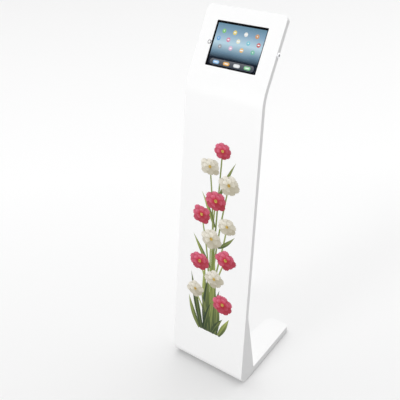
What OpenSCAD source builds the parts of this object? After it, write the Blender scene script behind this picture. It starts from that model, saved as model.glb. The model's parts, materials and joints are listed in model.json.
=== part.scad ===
// Tablet security kiosk stand: a folded sheet body that leans back on a fork foot,
// with a tablet behind its screen opening and a locked door at the rear of the head.
// Millimetres, +Z up, the front faces -Y, the floor is Z = 0.

/* [Tablet] */
// Width of the tablet, lying on its side
tablet_w = 241; // [225:1:260]
// Height of the tablet as it lies
tablet_h = 186; // [170:1:200]
// Thickness of the tablet with its glass
tablet_t = 9.4; // [8:0.1:10]
// Thickness of the tablet's glass
glass_t = 1; // [0.8:0.1:1.2]
// Corner radius of the tablet
tablet_r = 11; // [8:0.5:14]
// Black border beside the display, left and right
border_x = 22; // [20:0.5:24]
// Black border above and below the display
border_y = 19; // [15:0.5:22]

/* [Body] */
// Room beside the tablet, to the body's outer side
side_room = 37.5; // [35:0.5:50]
// Width of the body at the foot, from where it narrows to the head
base_w = 345; // [330:1:370]
// Depth of the folded body, from the front skin to the rear lips
body_t = 18; // [17.5:0.1:22]
// Sheet thickness of the body and of the foot cover
sheet = 2; // [1.8:0.1:2.2]
// Length of the column's front, from the base bend to the corner of the head bend
column_len = 1146; // [800:1:1250]
// Lean of the column from upright, in degrees
lean = 9.5; // [4:0.5:12]
// Outer radius of the bend at the base
base_bend_r = 46; // [36:1:50]
// Outer radius of the bend below the head
head_bend_r = 180; // [100:1:200]
// Width of the rear lips that carry the panel and the door
lip_w = 14; // [13:0.5:15]
// Thickness of the rear panel
panel_t = 1.5; // [1:0.1:2]
// How far the rear panel and the door stay in from the body's sides
rear_reveal = 4; // [2:0.5:6]
// Rear panel screws on each side of the column
panel_screws = 5; // [2:1:8]

/* [Head] */
// Tilt of the head from upright, in degrees
tilt = 34; // [26:0.5:42]
// Straight skin between the head bend and the tablet's lower edge
head_low = 17.5; // [17:0.5:40]
// Skin above the tablet
head_top = 37; // [30:0.5:60]
// Radius of the head's upper corners
head_r = 22; // [10:1:24]
// How far the screen opening clears the display, left and right
open_clear_x = 3.5; // [2:0.5:4]
// How far the screen opening clears the display, above and below
open_clear_y = 5; // [2:0.5:7]
// Corner radius of the screen opening
open_r = 3; // [1:0.5:6]
// Thickness of the foam frame in front of the tablet
gasket_t = 1.5; // [1.3:0.1:2]
// Width of the foam frame
gasket_w = 3.5; // [2:0.5:4]

/* [Foot] */
// Depth of the stand, from the front of the base bend to the prong tips
foot_len = 380; // [360:1:450]
// Height of the foot cover
foot_h = 29; // [27:0.5:36]
// Underside of the foot above the floor
floor_gap = 4; // [3.5:0.1:6]
// Where the flare starts, measured up the column
flare_up = 282; // [220:1:400]
// Rear end of the flare on the foot, measured from the front
flare_reach = 92; // [90:0.5:110]
// Root of the fork's notch, measured from the front
notch_start = 170; // [150:1:190]
// Width of the notch at its root
notch_w = 94; // [80:1:110]
// Angle at which each side of the notch opens, in degrees
notch_open = 7.4; // [4:0.2:9]
// Radius in the corners of the notch
notch_r = 25; // [10:1:35]
// Radius of a prong's tip on the inner side
tip_inner_r = 38; // [20:1:42]
// Radius of a prong's tip on the outer side
tip_outer_r = 15; // [8:1:20]
// Thickness of the steel base plate
base_t = 10; // [8:0.5:12]
// Radius of a rubber pad
pad_r = 15; // [10:0.5:18]

/* [Door] */
// Thickness of the rear door
door_t = 2; // [1.5:0.1:2.5]
// How far the door laps over the rear opening's edges
door_lap = 4; // [3:0.5:6]
// Thickness of the hinge leaves
leaf_t = 1.2; // [1:0.1:1.5]
// Radius of the hinge pin
pin_r = 1.25; // [1:0.05:1.5]
// Wall of a hinge knuckle
knuckle_wall = 1.5; // [1:0.1:2]
// Length of the piano hinge
hinge_len = 170; // [120:1:180]
// Knuckles along the hinge, an odd number
knuckles = 9; // [5:2:13]

/* [Lock] */
// Radius of the lock's barrel
barrel_r = 6; // [5.5:0.1:6.5]
// Length of the barrel inside the body's side
barrel_len = 17; // [15:0.5:19]
// Radius of the lock's flange
lock_flange_r = 8.8; // [7:0.1:9]
// Thickness of the flange
lock_flange_t = 4.4; // [1.5:0.1:5]
// Radius of the turning plug
plug_r = 4; // [3.5:0.1:4.5]
// Thickness of the cam
cam_t = 2; // [1.5:0.1:2.5]

/* [Home button] */
// Radius of the push cap
cap_r = 5; // [4:0.1:5.2]
// How far the cap stands proud of the skin
cap_proud = 1.2; // [0.8:0.1:2]
// Thickness of the trim ring
ring_t = 0.8; // [0.5:0.1:1.2]
// Travel of the cap and of the key under it
home_travel = 0.6; // [0.3:0.1:0.6]

/* [Fits] */
// Gap between neighbours that are seated but not pressed
seat_gap = 0.3; // [0.2:0.05:0.4]
// Gap between flat faces that lie on each other
face_gap = 0.02; // [0.01:0.01:0.05]
// Radial gap of a running fit
run_fit = 0.05; // [0.02:0.01:0.1]

/* [Hidden] */
$fn = 64;
// Overrun of a cutting tool past the face it cuts
over = 1;

// Side view, points as [y, z]: directions along and into the column and the head
body_w = tablet_w + 2*side_room;
half_w = body_w/2;
foot_half = base_w/2;
wide_half = max(half_w, foot_half);
cheek_in = half_w - sheet;
col_dir = [sin(lean), cos(lean)];
col_in = [cos(lean), -sin(lean)];
head_dir = [sin(tilt), cos(tilt)];
head_in = [cos(tilt), -sin(tilt)];
front_y = -foot_len/2;
base_c = [front_y + base_bend_r, floor_gap + base_bend_r];
col_foot = base_c - base_bend_r*col_in;
bend_tip = col_foot + column_len*col_dir;
bend_run = head_bend_r*tan((tilt - lean)/2);
bend_start = bend_tip - bend_run*col_dir;
bend_end = bend_tip + bend_run*head_dir;
bend_c = bend_start + head_bend_r*col_in;
bend_steps = 16;
base_steps = 30;
tip_steps = 14;

// Head: heights above the bend corner, depths from the front skin
tablet_lo = bend_run + head_low;
head_mid = tablet_lo + tablet_h/2;
head_len = tablet_lo + tablet_h + head_top;
head_tip = bend_tip + head_len*head_dir;
corner_crease = 0.04*head_r;
corner_in = head_r - corner_crease;
display_w = tablet_w - 2*border_x;
display_h = tablet_h - 2*border_y;
display_t = 0.5;
open_w = display_w + 2*open_clear_x;
open_h = display_h + 2*open_clear_y;
glass_d = sheet + gasket_t;
shell_d = glass_d + glass_t;
tablet_d = glass_d + tablet_t;
rear_h = tablet_h + 6;
rear_lo = head_mid - rear_h/2;
rear_hi = head_mid + rear_h/2;
lip_in = cheek_in - lip_w;
panel_end = rear_lo - door_lap - 1.5;

// Foot and flare
foot_top = floor_gap + foot_h;
narrow_top = bend_start[1];
flare_y = front_y + flare_reach;
flare_foot = [flare_y, foot_top];
flare_head = col_foot + flare_up*col_dir + body_t*col_in;
flare_len = norm(flare_head - flare_foot);
flare_dir = (flare_head - flare_foot)/flare_len;
flare_out = [flare_dir[1], -flare_dir[0]];
flare_turn = atan2(flare_dir[0], flare_dir[1]);
tip_y = front_y + foot_len;
side_heights = [-body_t, foot_top, narrow_top, head_tip[1] + body_t];
notch_y = front_y + notch_start;
flange_w = 26;
flange_end = base_c[0] + flange_w;
plate_z = floor_gap + sheet;
plate_top = plate_z + base_t;
plate_y = base_c[0] + 1;
cover_y = flare_y + seat_gap;
fork_fit = sheet + 0.5;

// Spine and gussets
spine_half = 30;
spine_sheet = 2;
spine_d = body_t - sheet - 3;
spine_lo = 20;
spine_hi = column_len - bend_run - 20;
gusset_t = 4;
gusset_x = spine_half - spine_sheet - gusset_t;
gusset_tab = 22;
gusset_end = 8;
gusset_bolt_in = 24;
gusset_hi = flare_up - 20;
spine_bolt_at = [90, 200];
spine_bolt_in = 5;

// Fasteners, as [shank radius, head radius, head height]
panel_screw = [2, 3.8, 2];
panel_screw_end = 40;
base_screw = [2.5, 4.6, 2.6];
frame_bolt = [3, 5, 4];
side_bolt = [2.5, 4.4, 2.4];
rivet = [1.6, 3.2, 1.2];
rivet_tail = [2.3, 0.9];
stud_r = 1.5;
stud_len = 6;
nut_r = 3.1;
nut_t = 2.4;

// Corner brackets
bracket_wall = 3;
bracket_leg = 34;
bracket_h = tablet_d - sheet - 1;
bracket_tab = [13, 2.5, 14];
bracket_x = tablet_w/2 + seat_gap;
bracket_w = tablet_h/2 + seat_gap;

// Hinge: the pin lies behind the door's left edge
knuckle_r = pin_r + run_fit + knuckle_wall;
hinge_x = -lip_in + 0.8;
hinge_d = body_t + knuckle_r + 0.1;
hinge_lo = head_mid - hinge_len/2;
knuckle_len = hinge_len/knuckles;
knuckle_gap = 0.3;
leaf_edge = knuckle_r + 0.35;
door_left = hinge_x + leaf_edge;
door_right = half_w - rear_reveal;
door_lo = rear_lo - door_lap;
door_hi = rear_hi + door_lap;
door_r = 8;
leaf_rivets = 5;
leaf_rivet_step = hinge_len/leaf_rivets;
frame_rivet_x = hinge_x - leaf_edge - 5;
door_rivet_x = door_left + 6;
door_leaf_w = 13;

// Lock: its axis lies across the head at half the body's depth
lock_d = body_t/2;
barrel_end = half_w - barrel_len - sheet;
cam_x = barrel_end - 3.6;
hub_r = plug_r;
cam_reach = lock_d - sheet - 0.4;
cam_half = 2.4;
spigot = 2;
keeper_x = [cam_x - 3.6, barrel_end - 1.3];
keeper_near = hub_r + 0.5;
keeper_stem = 1.8;
keeper_back = 10;
keeper_end = 26;
keeper_lip_d = lock_d - cam_half - 0.5;
clip_t = 1.2;
clip_groove = 0.9;
clip_slot = barrel_r - clip_groove + run_fit;
clip_half = lock_d - sheet - seat_gap;

// Home button over the tablet's key
home_x = -(tablet_w/2 - border_x/2);
home_hole = cap_r + run_fit + 0.03;
home_flange_r = cap_r + 1.3;
home_flange_t = 0.7;
ring_in = cap_r + 0.35;
ring_out = border_x/2 - open_clear_x - 0.4;
key_r = 4.8;
key_t = 1;

// Cable inlet in the flare
inlet_up = 0.34*flare_len;
inlet_r = 8;
inlet_hole = 5;

// Positions on the foot, measured from the front
pad_in = 20;
pad_end = 38;
pad_front = flare_reach + pad_in;
pad_back = foot_len - pad_end;
pad_mid = (pad_front + pad_back)/2;
pad_at = [pad_front, pad_mid, pad_back];
boss_from_pad = [38, 35, -30];
boss_at = pad_at + boss_from_pad;
boss_r = 5.5;
boss_thread = 8;
shell_screw_x = [40, 112];
shell_screw_in = 14;

// Edge of the notch at a height on the plan, moved into the metal by inset
function notch_x(y, inset) =
    notch_w/2 + (y - notch_y)*tan(notch_open) + inset/cos(notch_open);
// Middle of a prong or of the bridge at a height on the plan
function prong_x(y) = y > notch_y ? (foot_half + notch_x(y, 0))/2 : 0.72*foot_half;
// Half width of the body at a height, where it narrows from the foot to the head
function side_x(z) = foot_half
    + (half_w - foot_half)*max(0, min(1, (z - foot_top)/(narrow_top - foot_top)));
function lip_x(z) = side_x(z) - sheet - lip_w/2;

// Points along a bend of the sheet, as the sheet turns from one lean to another
function bend_arc(c, r, from, to, steps) = [for (i = [0:steps])
    let (a = from + (to - from)*i/steps) c - r*[cos(a), -sin(a)]];
function head_arc(d) = bend_arc(bend_c, head_bend_r - d, lean, tilt, bend_steps);
// Front skin at a depth, from the flange under the base up to the head bend
function front_path(d) = concat(bend_arc(base_c, base_bend_r - d, -90, lean, base_steps), head_arc(d));
// Fold between the flare and the column, moved out of the metal by d
function rear_fold(d) = flare_head + d*(flare_out + col_in)/(1 + flare_out*col_in);
function reversed(v) = [for (i = [len(v) - 1:-1:0]) v[i]];
// Points round a centre between two angles
function ring(c, r, from, to) = [for (i = [0:tip_steps])
    let (a = from + (to - from)*i/tip_steps) c + r*[cos(a), sin(a)]];

// Extrudes a side view [y, z] across the body from x0 to x1
module across(x0, x1)
    translate([x0, 0, 0]) rotate([90, 0, 90]) linear_extrude(x1 - x0) children();

// Extrudes a side view across the widest part of the body
module full_width() across(-wide_half - over, wide_half + over) children();

// Keeps what lies inside the body's front view, moved in from its sides by inset
module within_sides(inset) intersection() {
    children();
    translate([0, foot_len, 0]) rotate([90, 0, 0]) linear_extrude(2*foot_len) polygon([
        for (side = [1, -1]) for (z = side > 0 ? side_heights : reversed(side_heights))
            [side*(side_x(z) - inset), z]]);
}

// Frames with x across, y inward from the front skin, z up the sheet
module at_column() translate([0, col_foot[0], col_foot[1]]) rotate([-lean, 0, 0]) children();
module at_head() translate([0, bend_tip[0], bend_tip[1]]) rotate([-tilt, 0, 0]) children();
// Frame with y out of the flare's rear face, z up it
module at_flare()
    translate([0, flare_foot[0], flare_foot[1]]) rotate([-flare_turn, 0, 0]) children();

// Extrudes an outline [x, z] from depth d0 to depth d1 in a frame above
module slab(d0, d1)
    translate([0, d1, 0]) rotate([90, 0, 0]) linear_extrude(d1 - d0) children();

// Turns +Z to +Y, the way out at the rear of a frame
module to_rear() rotate([-90, 0, 0]) children();

module both_sides() {
    children();
    mirror([1, 0, 0]) children();
}

module round_rect(w, h, r) {
    square([w - 2*r, h], center = true);
    square([w, h - 2*r], center = true);
    for (x = [-1, 1], y = [-1, 1]) translate([x*(w/2 - r), y*(h/2 - r)]) circle(r);
}

// Right half of the fork's plan from y0 to the prong tips, shrunk by inset
function fork_half(inset, y0) = let (
    hw = foot_half - inset,
    yt = tip_y - inset,
    ro = tip_outer_r - inset,
    ri = tip_inner_r - inset,
    rr = notch_r + inset,
    yi = yt - ri,
    xi = notch_x(yi, inset) + ri/cos(notch_open),
    yn = notch_y - inset + rr,
    xn = notch_x(yn, inset) - rr/cos(notch_open))
    concat([[hw, y0]], ring([hw - ro, yt - ro], ro, 0, 90), ring([xi, yi], ri, 90, 180 - notch_open),
        ring([xn, yn], rr, -notch_open, -90));

// Fork foot of height h
module fork(inset, y0, h) {
    half = fork_half(inset, y0);
    linear_extrude(h) polygon(concat(half, reversed([for (q = half) [-q[0], q[1]]])));
}

// Shank below z = 0 and a head above it, with a drive recess
module bolt(kind, len) difference() {
    union() {
        cylinder(r = kind[1], h = kind[2]);
        translate([0, 0, -len]) cylinder(r = kind[0], h = len + over/2);
    }
    translate([0, 0, 0.45*kind[2]]) cylinder(r = kind[0]*0.7, h = kind[2], $fn = 6);
}

// Pop rivet through a stack of given grip, its head above z = 0
module pop_rivet(grip) {
    intersection() {
        cylinder(r = rivet[1], h = rivet[2]);
        translate([0, 0, rivet[2] - 1.6*rivet[1]]) sphere(1.6*rivet[1]);
    }
    translate([0, 0, -grip - rivet_tail[1]/2]) cylinder(r = rivet[0], h = grip + over);
    translate([0, 0, -grip - rivet_tail[1]]) cylinder(r = rivet_tail[0], h = rivet_tail[1]);
}

// Places of fasteners, each with +Z out of the face that carries the head
module panel_screw_places() both_sides() {
    step = (column_len - bend_run - flare_up - 2*panel_screw_end)/(panel_screws - 1);
    for (i = [0:panel_screws - 1]) {
        up = flare_up + panel_screw_end + i*step;
        x = lip_x((col_foot + up*col_dir)[1]);
        at_column() translate([x, body_t + panel_t, up]) to_rear() children();
    }
    flare_mid = (flare_foot + flare_head)/2;
    at_flare() translate([lip_x(flare_mid[1]), panel_t, 0.5*flare_len]) to_rear() children();
}
module cover_screw_places()
    both_sides() for (y = boss_at) translate([prong_x(front_y + y), front_y + y, 0]) children();
module shell_screw_places()
    both_sides() for (x = shell_screw_x) translate([x, base_c[0] + shell_screw_in, 0]) children();
module frame_rivet_places() at_head() for (i = [0:leaf_rivets - 1])
    translate([frame_rivet_x, body_t + leaf_t, hinge_lo + (i + 0.5)*leaf_rivet_step])
        to_rear() children();
module leaf_rivet_places() at_head() for (i = [0:leaf_rivets - 1])
    translate([door_rivet_x, body_t + door_t + leaf_t, hinge_lo + (i + 0.5)*leaf_rivet_step])
        to_rear() children();
module keeper_rivet_places() at_head() for (w = [keeper_back + 4.5, keeper_end - 4])
    translate([(keeper_x[0] + keeper_x[1])/2, body_t + door_t, head_mid + w]) to_rear() children();
module bracket_places() at_head() translate([0, 0, head_mid]) both_sides()
    for (up = [0, 1]) mirror([0, 0, up]) translate([bracket_x, 0, bracket_w]) children();
module stud_place() translate([bracket_wall + 7, sheet, -bracket_tab[2]/2]) to_rear() children();
module gusset_bolt_places() both_sides()
    translate([gusset_x + gusset_t + gusset_tab/2, flare_y - gusset_bolt_in, plate_top + gusset_t]) children();
module spine_bolt_places() both_sides() for (s = spine_bolt_at) at_column()
    translate([spine_half, sheet + spine_d - spine_bolt_in, s]) rotate([0, 90, 0]) children();
module lock_axis() at_head() translate([0, lock_d, head_mid]) rotate([0, 90, 0]) children();
module home_axis() at_head() translate([home_x, 0, head_mid]) to_rear() children();

// Rounds the head's upper corners off its children, moved in from the head's edges by inset
module rounded_head(inset) difference() {
    children();
    at_head() slab(-over, body_t + over) for (side = [0, 1]) mirror([side, 0])
        translate([half_w - corner_in, head_len - corner_in]) difference() {
            square(head_r + over);
            circle(head_r - inset);
        }
}

// Side view of the whole body, filled out by the flare at the base
module body_view() {
    rear_d = body_t - face_gap;
    polygon(concat([[flare_y, floor_gap]], front_path(0), [head_tip, head_tip + rear_d*head_in],
        reversed(head_arc(rear_d)), [rear_fold(-face_gap), flare_foot - face_gap*flare_out]));
}

// Side view of the hollow between the skin and the lips, open under the base plate
module hollow_view() {
    skin_d = sheet - face_gap;
    top = head_tip - sheet*head_dir;
    lip_lo = flare_foot + over*flare_dir;
    polygon(concat([[flare_y + over, floor_gap - over], [flange_end, floor_gap - over],
        [flange_end, plate_z]], front_path(skin_d), [top + skin_d*head_in, top + (body_t - sheet)*head_in],
        reversed(head_arc(body_t - sheet)), [rear_fold(-sheet), lip_lo - sheet*flare_out,
        lip_lo + over*flare_out]));
}

// Side view of the cut that leaves the lips, from the foot to the bar under the door
module rear_cut_view() {
    lip_lo = flare_foot - over*flare_dir;
    cut_end = tilt - (tilt - lean)/bend_steps/2;
    inner = bend_arc(bend_c, head_bend_r - body_t + 2*sheet, lean, cut_end, bend_steps);
    outer = bend_arc(bend_c, head_bend_r - body_t - over, lean, cut_end, bend_steps);
    polygon(concat([lip_lo - 2*sheet*flare_out, rear_fold(-2*sheet)], inner, reversed(outer),
        [rear_fold(over), lip_lo + over*flare_out]));
}

// Folded body with cheeks, lips, a bar under the door, and weld studs
module front_shell() color("white") difference() {
    union() {
        difference() {
            rounded_head(0) within_sides(0) full_width() body_view();
            rounded_head(sheet) within_sides(sheet) full_width() hollow_view();
            within_sides(sheet + lip_w) full_width() rear_cut_view();
            at_head() slab(body_t - 2*sheet, body_t + over) translate([-lip_in, rear_lo])
                square([2*lip_in, rear_h]);
        }
        bracket_places() stud_place()
            translate([0, 0, -over/2]) cylinder(r = stud_r, h = stud_len + over/2);
    }
    at_head() translate([0, 0, head_mid])
        slab(-over, sheet + over) round_rect(open_w, open_h, open_r);
    home_axis() translate([0, 0, -over]) cylinder(r = home_hole, h = sheet + 2*over);
    lock_axis() translate([0, 0, cheek_in - over])
        cylinder(r = barrel_r + run_fit, h = sheet + 2*over);
    panel_screw_places() translate([0, 0, -panel_t - sheet - over])
        cylinder(r = panel_screw[0] + run_fit, h = sheet + 2*over);
    frame_rivet_places() translate([0, 0, -leaf_t - sheet - over])
        cylinder(r = rivet[0] + run_fit, h = sheet + 2*over);
    shell_screw_places() translate([0, 0, floor_gap - over])
        cylinder(r = base_screw[0] + run_fit, h = sheet + 2*over);
}

// Bent cover over the lips, from the foot to the bar under the door
module rear_panel() color("whitesmoke") difference() {
    panel_lo = flare_foot + seat_gap*flare_dir;
    panel_hi = bend_tip + panel_end*head_dir + body_t*head_in;
    within_sides(rear_reveal) full_width() polygon(concat([panel_lo, flare_head],
        head_arc(body_t), [panel_hi, panel_hi + panel_t*head_in],
        reversed(head_arc(body_t + panel_t)), [rear_fold(panel_t), panel_lo + panel_t*flare_out]));
    panel_screw_places() translate([0, 0, -panel_t - over])
        cylinder(r = panel_screw[0] + run_fit, h = panel_t + 2*over);
    at_flare() translate([0, -over, inlet_up]) to_rear()
        cylinder(r = inlet_r, h = panel_t + 2*over);
}

module rear_panel_screws() color("silver") panel_screw_places()
    bolt(panel_screw, panel_t + sheet + 3);

// Hollow fork with bosses for its screws, open at the front and below
module foot_cover() color("white") difference() {
    union() {
        difference() {
            translate([0, 0, floor_gap]) fork(0, cover_y, foot_h);
            translate([0, 0, floor_gap - over])
                fork(sheet, cover_y - over, foot_h - sheet + over);
        }
        cover_screw_places() translate([0, 0, plate_top])
            cylinder(r = boss_r, h = foot_top - plate_top - sheet/2);
    }
    cover_screw_places() translate([0, 0, plate_top - over])
        cylinder(r = base_screw[0] + run_fit, h = boss_thread + over);
}

module base_plate() color("dimgray") difference() {
    translate([0, 0, plate_z]) fork(fork_fit, plate_y, base_t);
    cover_screw_places() translate([0, 0, plate_z - over])
        cylinder(r = base_screw[0] + run_fit, h = base_t + 2*over);
    shell_screw_places() translate([0, 0, plate_z - over])
        cylinder(r = base_screw[0] + run_fit, h = base_t - 1 + over);
    gusset_bolt_places() translate([0, 0, -gusset_t - base_t + 1])
        cylinder(r = frame_bolt[0] + run_fit, h = base_t + over);
}

module cover_screws() color("silver") cover_screw_places()
    translate([0, 0, plate_z]) mirror([0, 0, 1]) bolt(base_screw, base_t + boss_thread - 1);

module shell_screws() color("silver") shell_screw_places()
    translate([0, 0, floor_gap]) mirror([0, 0, 1]) bolt(base_screw, sheet + base_t - 3);

// Rubber discs with a rounded lower edge
module foot_pads() color("black") both_sides() for (y = pad_at)
    translate([prong_x(front_y + y), front_y + y, 0]) rotate_extrude() {
        translate([0, 1.5]) square([pad_r, plate_z - 1.5]);
        square([pad_r - 1.5, plate_z]);
        translate([pad_r - 1.5, 1.5]) circle(1.5);
    }

// U channel with its web on the front skin
module spine_channel() color("lightgray") difference() {
    at_column() difference() {
        translate([-spine_half, sheet, spine_lo])
            cube([2*spine_half, spine_d, spine_hi - spine_lo]);
        translate([-spine_half + spine_sheet, sheet + spine_sheet, spine_lo - over])
            cube([2*(spine_half - spine_sheet), spine_d, spine_hi - spine_lo + 2*over]);
    }
    spine_bolt_places() translate([0, 0, -spine_sheet - over])
        cylinder(r = side_bolt[0] + run_fit, h = spine_sheet + 2*over);
}

// Webs inside the spine's flanges, each with a tab on the base plate
module base_gussets() color("gray") difference() {
    both_sides() {
        across(gusset_x, gusset_x + gusset_t) polygon([
            [plate_y + gusset_end, plate_top], [flare_y - gusset_end, plate_top],
            col_foot + gusset_hi*col_dir + (body_t - 3)*col_in,
            col_foot + gusset_hi*col_dir + (sheet + spine_sheet + seat_gap)*col_in,
            col_foot + (spine_lo - gusset_end)*col_dir + (sheet + spine_sheet + seat_gap)*col_in]);
        translate([gusset_x, plate_y + gusset_end, plate_top])
            cube([gusset_tab, flare_y - plate_y - 2*gusset_end, gusset_t]);
    }
    gusset_bolt_places() translate([0, 0, -gusset_t - over])
        cylinder(r = frame_bolt[0] + run_fit, h = gusset_t + 2*over);
    spine_bolt_places() translate([0, 0, -spine_sheet - gusset_t - over])
        cylinder(r = side_bolt[0] + run_fit, h = gusset_t + 2*over);
}

module gusset_bolts() color("silver") gusset_bolt_places() bolt(frame_bolt, gusset_t + base_t - 3);

module spine_bolts() color("silver") spine_bolt_places()
    bolt(side_bolt, spine_sheet + gusset_t + 2);

// Grooved rubber ring that grips the panel's edge
module cable_grommet() color("black") at_flare() translate([0, 0, inlet_up]) to_rear()
    rotate_extrude() difference() {
        union() {
            translate([inlet_hole, -1.8]) square([inlet_r + 2.5 - inlet_hole, 1.7]);
            translate([inlet_hole, -1.8]) square([inlet_r - 0.1 - inlet_hole, panel_t + 4]);
            translate([inlet_hole, panel_t + 0.1]) square([inlet_r + 2.5 - inlet_hole, 2.1]);
        }
        translate([inlet_r + 2.5, panel_t + 2.2]) rotate(45) square(1.8, center = true);
    }

// Corner angle round the tablet with a tab on the weld stud
module corner_brackets() color("dimgray") bracket_places() difference() {
    union() {
        translate([0, sheet, bracket_wall - bracket_leg])
            cube([bracket_wall, bracket_h, bracket_leg]);
        translate([bracket_wall - bracket_leg, sheet, 0])
            cube([bracket_leg, bracket_h, bracket_wall]);
        translate([0, sheet, -bracket_tab[2]])
            cube([bracket_wall + bracket_tab[0], bracket_tab[1], bracket_tab[2] + bracket_wall]);
    }
    stud_place() translate([0, 0, -over])
        cylinder(r = stud_r + run_fit, h = bracket_tab[1] + 2*over);
    translate([bracket_wall + bracket_tab[0], sheet - over, bracket_wall]) rotate([-90, 0, 0])
        cylinder(r = 9, h = bracket_tab[1] + 2*over, $fn = 4);
}

module bracket_nuts() color("silver") bracket_places() stud_place()
    translate([0, 0, bracket_tab[1]]) difference() {
        cylinder(r = nut_r, h = nut_t, $fn = 6);
        translate([0, 0, -over]) cylinder(r = stud_r + run_fit, h = nut_t + 2*over);
    }

module front_gasket() color("black") at_head() translate([0, 0, head_mid])
    slab(sheet, glass_d) difference() {
        round_rect(tablet_w - 1, tablet_h - 1, tablet_r);
        round_rect(tablet_w - 1 - 2*gasket_w, tablet_h - 1 - 2*gasket_w, tablet_r - gasket_w);
    }

// Metal back with bevelled edges, a display pocket and a well under the key
module tablet_shell() color("silver") at_head() translate([0, 0, head_mid]) difference() {
    intersection() {
        slab(shell_d, tablet_d) round_rect(tablet_w, tablet_h, tablet_r);
        translate([-tablet_w/2 - over, 0, 0]) rotate([90, 0, 90]) linear_extrude(tablet_w + 2*over)
            bevelled(tablet_h);
        translate([0, 0, -tablet_h/2 - over]) linear_extrude(tablet_h + 2*over)
            mirror([1, -1]) bevelled(tablet_w);
    }
    slab(shell_d - over, shell_d + display_t) square([display_w, display_h], center = true);
    translate([home_x, shell_d - over, 0]) to_rear()
        cylinder(r = key_r + 0.3, h = key_t + over + 1);
}

// Cross-section of the tablet's back as [depth, half width]: a bevel on each rear edge
module bevelled(w) polygon([[shell_d - over, -w/2 - over], [shell_d + 3, -w/2 - over],
    [shell_d + 3, -w/2], [tablet_d, -w/2 + 14], [tablet_d, w/2 - 14], [shell_d + 3, w/2],
    [shell_d + 3, w/2 + over], [shell_d - over, w/2 + over]]);

module tablet_display() color("steelblue") at_head() translate([0, 0, head_mid])
    slab(shell_d, shell_d + display_t)
        square([display_w - 2*run_fit, display_h - 2*run_fit], center = true);

module tablet_glass() color("black") difference() {
    at_head() translate([0, 0, head_mid])
        slab(glass_d, shell_d) round_rect(tablet_w - 0.4, tablet_h - 0.4, tablet_r - 0.2);
    home_axis() translate([0, 0, glass_d - over]) cylinder(r = key_r + 0.3, h = glass_t + 2*over);
}

module home_ring() color("silver") home_axis() rotate_extrude()
    polygon([[ring_in, 0], [ring_out, 0], [ring_out, -0.4*ring_t], [ring_out - 0.5, -ring_t],
        [ring_in, -ring_t]]);

// Barrel with a rounded flange outside the cheek and grooves for the clip inside it
module lock_body() color("silver") lock_axis() difference() {
    union() {
        translate([0, 0, barrel_end]) cylinder(r = barrel_r, h = half_w - barrel_end + over/2);
        translate([0, 0, half_w]) rotate_extrude() polygon([[0, 0], [lock_flange_r, 0],
            [lock_flange_r, 0.45*lock_flange_t], [lock_flange_r - 1.8, lock_flange_t],
            [0, lock_flange_t]]);
    }
    translate([0, 0, barrel_end - over]) cylinder(r = plug_r + run_fit, h = 2*barrel_len);
    for (side = [-1, 1]) translate([0, side*barrel_r, cheek_in - seat_gap - clip_t/2])
        cube([2*barrel_r, 2*clip_groove, clip_t + 2*run_fit], center = true);
}

// Horseshoe clip in the barrel's grooves
module lock_clip() color("gray") lock_axis()
    translate([0, 0, cheek_in - seat_gap - clip_t]) linear_extrude(clip_t) difference() {
        translate([-barrel_r, -clip_half]) square([2*barrel_r + 3.5, 2*clip_half]);
        translate([-barrel_r - over, -clip_slot]) square([2*barrel_r + over + seat_gap, 2*clip_slot]);
    }

// Every second knuckle, starting with the first or the second, with its bridge to a leaf
module knuckle_row(first, bridge_x, bridge_d) for (i = [first:2:knuckles - 1])
    translate([hinge_x, hinge_d, hinge_lo + i*knuckle_len + knuckle_gap/2]) {
        cylinder(r = knuckle_r, h = knuckle_len - knuckle_gap);
        translate([min(0, bridge_x), bridge_d - hinge_d, 0])
            cube([abs(bridge_x), leaf_t, knuckle_len - knuckle_gap]);
    }

module pin_bore() translate([hinge_x, hinge_d, hinge_lo - over])
    cylinder(r = pin_r + run_fit, h = hinge_len + 2*over);

module hinge_frame_leaf() color("gray") difference() {
    at_head() difference() {
        union() {
            slab(body_t, body_t + leaf_t) translate([-cheek_in + 0.5, hinge_lo])
                square([hinge_x - leaf_edge + cheek_in - 0.5, hinge_len]);
            knuckle_row(0, -leaf_edge - over/2, body_t);
        }
        pin_bore();
    }
    frame_rivet_places() translate([0, 0, -leaf_t - over])
        cylinder(r = rivet[0] + run_fit, h = leaf_t + 2*over);
}

module hinge_pin() color("silver") at_head() translate([hinge_x, hinge_d, hinge_lo]) {
    translate([0, 0, -0.8]) cylinder(r = pin_r, h = hinge_len + 1.6);
    for (z = [-1.4, hinge_len + 0.2]) translate([0, 0, z]) cylinder(r = pin_r + 0.7, h = 1.2);
}

module frame_rivets() color("silver") frame_rivet_places() pop_rivet(leaf_t + sheet);

// Flat door over the rear opening, with rounded free corners
module rear_door() color("whitesmoke") difference() {
    at_head() slab(body_t, body_t + door_t) {
        translate([door_left, door_lo])
            square([door_right - door_r - door_left, door_hi - door_lo]);
        translate([door_right - 2*door_r, door_lo + door_r])
            square([2*door_r, door_hi - door_lo - 2*door_r]);
        for (w = [door_lo + door_r, door_hi - door_r])
            translate([door_right - door_r, w]) circle(door_r);
    }
    leaf_rivet_places() translate([0, 0, -leaf_t - door_t - over])
        cylinder(r = rivet[0] + run_fit, h = door_t + 2*over);
    keeper_rivet_places() translate([0, 0, -door_t - over])
        cylinder(r = rivet[0] + run_fit, h = door_t + 2*over);
}

module door_hinge_leaf() color("gray") difference() {
    at_head() difference() {
        union() {
            slab(body_t + door_t, body_t + door_t + leaf_t) translate([door_left, hinge_lo])
                square([door_leaf_w, hinge_len]);
            knuckle_row(1, leaf_edge + over/2, body_t + door_t);
        }
        pin_bore();
    }
    leaf_rivet_places() translate([0, 0, -leaf_t - over])
        cylinder(r = rivet[0] + run_fit, h = leaf_t + 2*over);
}

module door_rivets() color("silver") {
    leaf_rivet_places() pop_rivet(leaf_t + door_t);
    keeper_rivet_places() pop_rivet(door_t + leaf_t);
}

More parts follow.
